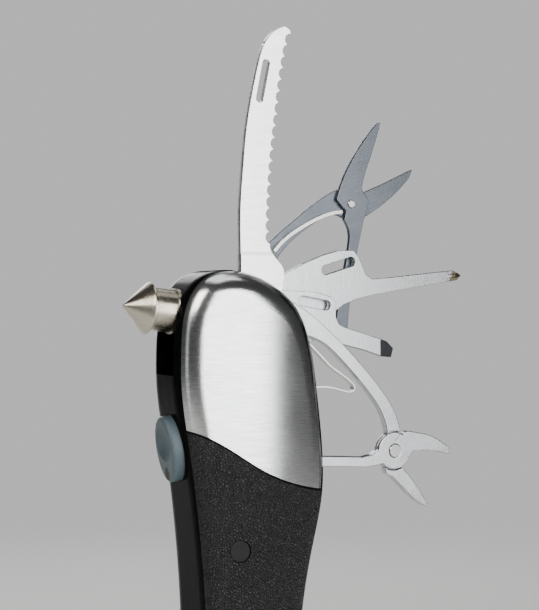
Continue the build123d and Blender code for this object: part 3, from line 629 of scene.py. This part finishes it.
pivot = Vector((3.2 * mm, 0, 146.5 * mm))
tipShade = {  # where the dark end starts, from the pivot, the shaft's direction, and its colour
    "cross_driver": {"start": (68.2, 12.4), "along": (0.93, -0.36), "colour": (0.16, 0.135, 0.09)},
    "flat_driver": {"start": (41.6, -9.0), "along": (1.0, 0.0), "colour": (0.075, 0.078, 0.085)},
}
tipEdge = {"wanderScale": 500, "wander": 0.5 * mm, "range": (0.15 * mm, 0.45 * mm), "rougher": 0.10}


def paintShadeOnTip(material, look):
    # painted shade: past a line across the shaft the steel is darkened, standing in for the shade on the
    # tip's ground facets
    tree = material.node_tree
    shader = tree.nodes["Principled BSDF"]
    place = objectPlace(tree)
    start = pivot + Vector((look["start"][0] * mm, 0, look["start"][1] * mm))
    apart = vectorNode(tree, "SUBTRACT", place, start)["Vector"]
    along = vectorNode(tree, "DOT_PRODUCT", apart, (look["along"][0], 0, look["along"][1]))["Value"]
    wander = noiseNode(tree, place, tipEdge["wanderScale"])
    mask = stretch(tree, addUp(tree, along, (wander, tipEdge["wander"])), *tipEdge["range"])
    colourBefore = shader.inputs["Base Color"].links[0].from_socket
    roughBefore = shader.inputs["Roughness"].links[0].from_socket
    setColour(tree, shader, blendColour(tree, mask, colourBefore, look["colour"]))
    setRough(tree, shader, roughBefore, (mask, tipEdge["rougher"]))


paint(steelMaterial("saw"), "saw_blade", "cutter_blade")
for node, look in tipShade.items():
    driverSteel = steelMaterial("driver")
    driverSteel.name = node + "Steel"
    paintShadeOnTip(driverSteel, look)
    paint(driverSteel, node)
paint(steelMaterial("pliers"), "pliers_arm", "pliers_handle")
paint(steelMaterial("scissors"), "scissors_arm", "scissors_lever")
paint(steelMaterial("liner"), "tool_liner_left", "tool_liner_right")
springSteel = steelMaterial("spring")
paint(springSteel, "contact_spring")


# pins, screws and washers: colours and roughness, and the turning marks round their axis

hammerTilt = 6.7  # degrees that the hammer's shaft rises
pinRings = {"spin": (0, 0, 0), "axis": "Y", "scale": 900.0, "depth": 0.006 * mm}
hammerRings = {"spin": (0, radians(-hammerTilt), 0), "axis": "X", "scale": 1500.0, "depth": 0.010 * mm}
turned = {
    "turnedNickel": ((0.74, 0.69, 0.58), (0.42, 0.37, 0.28), 0.18, hammerRings),
    "turnedPin": ((0.66, 0.66, 0.66), (0.42, 0.42, 0.42), 0.25, pinRings),
    "zincPlate": ((0.52, 0.52, 0.50), (0.34, 0.34, 0.32), 0.33, pinRings),
    "stampedBrass": ((0.68, 0.50, 0.22), (0.40, 0.28, 0.12), 0.3, pinRings),
}
turning = {
    "marks": (160.0, 600.0), "rim": (0.2 * mm, 1500.0), "rimHighlightAndWear": (0.9, 0.88, 0.84),
    "distortion": 0.6, "ringTone": 0.35, "smudgeTone": 0.5, "smudged": 0.12, "ringed": 0.05,
}


def turnedMaterial(name):
    light, dark, roughness, rings = turned[name]
    material, tree, shader = newMaterial(name, light, roughness, 1.0)
    spin = tree.nodes.new("ShaderNodeMapping")
    spin.inputs["Rotation"].default_value = rings["spin"]
    tree.links.new(objectPlace(tree), spin.inputs["Vector"])
    wave = tree.nodes.new("ShaderNodeTexWave")
    wave.bands_direction = rings["axis"]
    wave.inputs["Scale"].default_value = rings["scale"]
    wave.inputs["Distortion"].default_value = turning["distortion"]
    tree.links.new(spin.outputs["Vector"], wave.inputs["Vector"])
    ring = wave.outputs["Fac"]
    smudge = addMarks(tree, *turning["marks"])["Smudge"]
    rim = addRim(tree, *turning["rim"])
    tone = addUp(tree, 0.0, (ring, turning["ringTone"]), (smudge, turning["smudgeTone"]))
    # painted edge highlight and rubbed wear: the rims are blended towards a pale colour
    setColour(tree, shader, blendColour(tree, rim, blendColour(tree, tone, light, dark), turning["rimHighlightAndWear"]))
    setRough(tree, shader, roughness, (smudge, turning["smudged"]), (ring, turning["ringed"]))
    addBump(tree, shader, ring, rings["depth"])
    return material


hammerNickel = turnedMaterial("turnedNickel")
paint(turnedMaterial("turnedPin"), "tool_pivot_pin", "pliers_rivet", "scissors_rivet", "liner_rivets")
paint(turnedMaterial("zincPlate"), "hammer_nut", "panel_screw_left", "panel_screw_right", "case_screw_set")
paint(turnedMaterial("stampedBrass"), "tool_washers")
print("steel painted")


# hammer, turned in the lathe

hammer = {
    "seat": (-20.7 * mm, 0, 148.5 * mm), "sides": 128, "sharpAbove": 32,
    "neck": 5.9 * mm, "neckLength": 7.4 * mm, "cone": 7.2 * mm, "coneLength": 7.2 * mm,
    "stud": 3.0 * mm, "studLength": 10.5 * mm, "studPoint": (0.5 * mm, 0.6 * mm),
    "lip": 0.12 * mm, "chin": 0.35 * mm, "undercut": 0.18 * mm, "seatGap": 0.1 * mm,
    "grooves": 30, "neckGrooves": 16, "grooveDepth": 0.008 * mm,
}
collar = {
    "outer": 6.35 * mm, "low": -0.88 * mm, "high": 0.6 * mm, "floor": 0.08 * mm,
    "play": 0.05 * mm, "foot": 0.1 * mm, "rim": 0.12 * mm,
}


def grooved(start, end, count, depth):
    # a straight cut from one (radius, height) to another, with fine tool marks left in it
    points = []
    for i in range(count + 1):
        t = i / count
        radius = start[0] + (end[0] - start[0]) * t - (depth if i % 2 and i < count else 0)
        points.append((radius, start[1] + (end[1] - start[1]) * t))
    return points


def lathe(name, profile, node):
    # profile is (radius, height) from the seat outwards; both ends close on the axis or on each other
    turn = radians(hammerTilt)
    axis = Vector((-cos(turn), 0, sin(turn)))
    side, up = Vector((0, 1, 0)), axis.cross(Vector((0, 1, 0)))
    seat = Vector(hammer["seat"])
    sides = hammer["sides"]
    bm = bmesh.new()
    rings = []
    for radius, height in profile:
        if radius == 0:
            rings.append([bm.verts.new(seat + axis * height)])
            continue
        ring = []
        for i in range(sides):
            a = 2 * pi * i / sides
            ring.append(bm.verts.new(seat + axis * height + (side * cos(a) + up * sin(a)) * radius))
        rings.append(ring)
    if len(rings[0]) > 1:
        rings.append(rings[0])
    for low, high in zip(rings, rings[1:]):
        for i in range(sides):
            k = (i + 1) % sides
            corners = [low[i % len(low)], low[k % len(low)], high[k % len(high)], high[i % len(high)]]
            unique = list(dict.fromkeys(corners))
            if len(unique) > 2:
                bm.faces.new(unique)
    bmesh.ops.recalc_face_normals(bm, faces=bm.faces)
    for edge in bm.edges:
        edge.smooth = edge.calc_face_angle(0) < radians(hammer["sharpAbove"])
    for face in bm.faces:
        face.smooth = True
    mesh = bpy.data.meshes.new(name)
    bm.to_mesh(mesh)
    bm.free()
    mesh.materials.append(hammerNickel)
    piece = bpy.data.objects.new(name, mesh)
    scene.collection.objects.link(piece)
    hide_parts(node)
    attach(piece, "case")


def hammerProfile():
    h = hammer
    lip, chin, neck, cone, stud = h["lip"], h["chin"], h["neck"], h["cone"], h["stud"]
    foot, shoulder, gap = -h["studLength"], h["neckLength"], h["seatGap"]
    waist = neck - h["undercut"]
    top = shoulder + h["coneLength"]
    profile = [(0, foot), (stud - h["studPoint"][0], foot)]
    profile += [(stud, foot + h["studPoint"][1]), (stud, gap)]
    profile += [(neck - lip, gap), (neck, gap + lip)]
    neckCut = (neck, 0.3 * mm), (neck, shoulder - 1.1 * mm)
    profile += grooved(*neckCut, h["neckGrooves"], h["grooveDepth"])
    profile += [(waist, shoulder - 0.9 * mm), (waist, shoulder - 0.5 * mm)]  # undercut behind the cone
    profile += [(neck, shoulder - 0.35 * mm), (cone - lip, shoulder), (cone, shoulder + lip)]
    profile += [(cone, shoulder + chin), (cone - 0.6 * lip, shoulder + chin + lip)]
    coneCut = (cone - lip, shoulder + chin + 1.5 * lip), (0.42 * mm, top - 0.1 * mm)
    profile += grooved(*coneCut, h["grooves"], h["grooveDepth"])[1:]
    profile += [(0.24 * mm, top + 0.03 * mm), (0, top + 0.08 * mm)]  # a blunt point
    return profile


def collarProfile():
    # a washer under the neck whose rim stands up round it
    outer, low, high, floor = collar["outer"], collar["low"], collar["high"], collar["floor"]
    inner, bore = hammer["stud"] + collar["play"], hammer["neck"] + collar["play"]
    foot, rim = collar["foot"], collar["rim"]
    return [
        (inner, low), (outer - foot, low), (outer, low + foot), (outer, high - rim),
        (outer - rim, high), (bore, high), (bore, floor), (inner, floor),
    ]


lathe("turnedHammer", hammerProfile(), "hammer_tip")
lathe("hammerCollarRing", collarProfile(), "hammer_collar")
print("hammer turned")


# springs, copied from the CAD nodes in spring steel and carried by their bodies

springs = {
    "pliersLeaf": {
        "node": "pliers_spring", "body": "pliers", "joint": "pliers_squeeze",
        "across": (-0.564, 0, -0.826), "held": (12.2 * mm, 0, 142.3 * mm), "keep": 0.12,
    },
    "scissorsLeaf": {
        "node": "scissors_spring", "body": "scissors", "joint": "scissors_cut",
        "across": (-0.471, 0, 0.883), "held": (12.4 * mm, 0, 166.1 * mm), "keep": 0.3,
    },
    "buttonCoil": {
        "node": "button_spring", "body": "case", "joint": "button_press",
        "across": (0.98714, 0, 0.15988), "held": (-12.9 * mm, 0, 112.1 * mm), "keep": 0.66,
    },
}


def addSpring(name, spring):
    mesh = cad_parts[spring["node"]].data.copy()
    mesh.materials.clear()
    mesh.materials.append(springSteel)
    piece = bpy.data.objects.new(name, mesh)
    scene.collection.objects.link(piece)
    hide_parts(spring["node"])
    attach(piece, spring["body"])
    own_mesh(piece)


for name, spring in springs.items():
    addSpring(name, spring)
print("springs set")


# thumb button, with a small dark oval in its dish

button = {
    "colour": (0.085, 0.118, 0.136), "paleTone": (0.125, 0.165, 0.185), "edge": (0.42, 0.46, 0.5),
    "mark": (0.008, 0.009, 0.010), "markHeight": 103.7 * mm, "markSize": (1.5 * mm, 2.1 * mm),
    "roughness": 0.3, "gloss": 0.22, "marks": (130.0, 380.0), "rim": (0.4 * mm, 900.0),
    "smudged": 0.12, "scratched": 0.2, "grain": 5200, "grainDepth": 0.3, "depth": 0.05 * mm,
}


def buttonMaterial():
    look = button
    material, tree, shader = newMaterial("greyBlueButton", look["colour"], look["roughness"])
    place = objectPlace(tree)
    marks = addMarks(tree, *look["marks"])
    rim = addRim(tree, *look["rim"])
    split = tree.nodes.new("ShaderNodeSeparateXYZ")
    tree.links.new(place, split.inputs[0])
    across = mathNode(tree, "DIVIDE", split.outputs["Y"], look["markSize"][0])
    along = mathNode(tree, "SUBTRACT", split.outputs["Z"], look["markHeight"])
    along = mathNode(tree, "DIVIDE", along, look["markSize"][1])
    ring = mathNode(tree, "ADD", mathNode(tree, "POWER", across, 2), mathNode(tree, "POWER", along, 2))
    mark = stretch(tree, ring, 0.8, 1.1, 1.0, 0.0)
    colour = blendColour(tree, mathNode(tree, "MULTIPLY", marks["Smudge"], 0.5), look["colour"], look["paleTone"])
    # painted edge highlight and rubbed wear: the rim is blended half way towards a pale grey-blue
    colour = blendColour(tree, mathNode(tree, "MULTIPLY", rim, 0.5), colour, look["edge"])
    setColour(tree, shader, blendColour(tree, mark, colour, look["mark"]))
    setRough(
        tree, shader, look["roughness"],
        (marks["Smudge"], look["smudged"]), (marks["Scratch"], look["scratched"]),
    )
    shader.inputs["Specular IOR Level"].default_value = look["gloss"]
    fine = noiseNode(tree, place, look["grain"], 2.0)
    addBump(tree, shader, addUp(tree, 0.0, (fine, look["grainDepth"]), (mark, -1.0)), look["depth"])
    return material


paint(buttonMaterial(), "thumb_button")
paint(plasticMaterial("switchPlastic"), "switch_body")
print("button painted")


# torch

torch = {
    "lens": {
        "colour": (0.97, 0.985, 1.0), "roughness": 0.02, "ior": 1.49, "smudges": 120.0, "scratched": 0.1,
    },
    "lamp": {"amber": (0.95, 0.86, 0.42), "pale": (0.98, 0.94, 0.7), "roughness": 0.08, "specks": 2400},
    "bowl": {
        "colour": (0.9, 0.9, 0.91), "rough": (0.04, 0.1), "roughScale": 200,
        "peel": 900, "depth": 0.08 * mm, "strength": 0.6,
    },
    "seal": {
        "colour": (0.02, 0.02, 0.02), "roughness": 0.55, "cells": 3800.0, "shiny": 0.15, "depth": 0.02 * mm,
    },
    "cells": {
        "sleeve": (0.05, 0.11, 0.22), "band": (0.55, 0.36, 0.10), "bandHeight": 50 * mm,
        "scratch": (0.6, 0.6, 0.6), "roughness": 0.24, "smudges": 80.0, "smudged": 0.15,
    },
    "board": {
        "mask": (0.02, 0.16, 0.07), "track": (0.05, 0.28, 0.13), "roughness": 0.35,
        "scale": 320, "depth": 0.03 * mm,
    },
}


def lensMaterial():
    look = torch["lens"]
    material, tree, shader = newMaterial("clearLens", look["colour"], look["roughness"])
    shader.inputs["Transmission Weight"].default_value = 1.0
    shader.inputs["IOR"].default_value = look["ior"]
    marks = addMarks(tree, look["smudges"])
    setRough(tree, shader, look["roughness"], (marks["Scratch"], look["scratched"]))
    return material


def lampMaterial():
    look = torch["lamp"]
    material, tree, shader = newMaterial("lampDome", look["amber"], look["roughness"])
    speck = noiseNode(tree, objectPlace(tree), look["specks"], 2.0)
    setColour(tree, shader, blendColour(tree, speck, look["amber"], look["pale"]))
    shader.inputs["Coat Weight"].default_value = 1.0
    return material


def reflectorMaterial():
    look = torch["bowl"]
    material, tree, shader = newMaterial("silveredBowl", look["colour"], look["rough"][0], 1.0)
    place = objectPlace(tree)
    peel = tree.nodes.new("ShaderNodeTexVoronoi")
    peel.inputs["Scale"].default_value = look["peel"]
    tree.links.new(place, peel.inputs["Vector"])
    addBump(tree, shader, peel.outputs["Distance"], look["depth"], look["strength"])
    patches = noiseNode(tree, place, look["roughScale"])
    tree.links.new(stretch(tree, patches, 0.3, 0.7, *look["rough"]), shader.inputs["Roughness"])
    return material


def sealMaterial():
    look = torch["seal"]
    material, tree, shader = newMaterial("sealRubber", look["colour"], look["roughness"])
    skin = useGroup(tree, leatherGrain, Cells=look["cells"])
    addBump(tree, shader, skin["Height"], look["depth"])
    setRough(tree, shader, look["roughness"], (skin["Shine"], look["shiny"]))
    return material


def cellMaterial():
    look = torch["cells"]
    material, tree, shader = newMaterial("cellSleeve", look["sleeve"], look["roughness"])
    split = tree.nodes.new("ShaderNodeSeparateXYZ")
    tree.links.new(objectPlace(tree), split.inputs[0])
    band = mathNode(tree, "GREATER_THAN", split.outputs["Z"], look["bandHeight"])
    marks = addMarks(tree, look["smudges"])
    colour = blendColour(tree, band, look["sleeve"], look["band"])
    setColour(tree, shader, blendColour(tree, marks["Scratch"], colour, look["scratch"]))
    setRough(tree, shader, look["roughness"], (marks["Smudge"], look["smudged"]))
    return material


def boardMaterial():
    look = torch["board"]
    material, tree, shader = newMaterial("circuitBoard", look["mask"], look["roughness"])
    tracks = tree.nodes.new("ShaderNodeTexBrick")
    tracks.inputs["Scale"].default_value = look["scale"]
    tree.links.new(objectPlace(tree), tracks.inputs["Vector"])
    setColour(tree, shader, blendColour(tree, tracks.outputs["Fac"], look["mask"], look["track"]))
    addBump(tree, shader, tracks.outputs["Fac"], look["depth"])
    return material


paint(plasticMaterial("capPlastic"), "tail_cap")
paint(lensMaterial(), "torch_lens")
paint(lampMaterial(), "lamp")
paint(reflectorMaterial(), "reflector")
paint(sealMaterial(), "lens_seal")
paint(cellMaterial(), "cells")
paint(boardMaterial(), "light_board", "switch_board")
print("torch painted")


# broken edges on the hard pieces, in mm

edgeWidths = {
    "saw_blade": 0.15, "cross_driver": 0.22, "flat_driver": 0.22, "pliers_arm": 0.3,
    "pliers_handle": 0.3, "scissors_arm": 0.2, "scissors_lever": 0.2, "tail_cap": 0.12,
    "tool_liner_left": 0.15, "tool_liner_right": 0.15,
}
breaking = {"weld": 0.002 * mm, "flatWithin": 0.5, "sharpAbove": 38, "segments": 2}


def breakEdges(node, width):
    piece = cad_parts[node]
    weld = piece.modifiers.new("joinCorners", "WELD")
    weld.merge_threshold = breaking["weld"]
    flats = piece.modifiers.new("joinFlats", "DECIMATE")
    flats.decimate_type = "DISSOLVE"
    flats.angle_limit = radians(breaking["flatWithin"])
    bevel = piece.modifiers.new("brokenEdges", "BEVEL")
    bevel.width = width * mm
    bevel.segments = breaking["segments"]
    bevel.limit_method = "ANGLE"
    bevel.angle_limit = radians(breaking["sharpAbove"])
    bevel.harden_normals = True
    bevel.use_clamp_overlap = False


for node, width in edgeWidths.items():
    breakEdges(node, width)
print("edges broken")
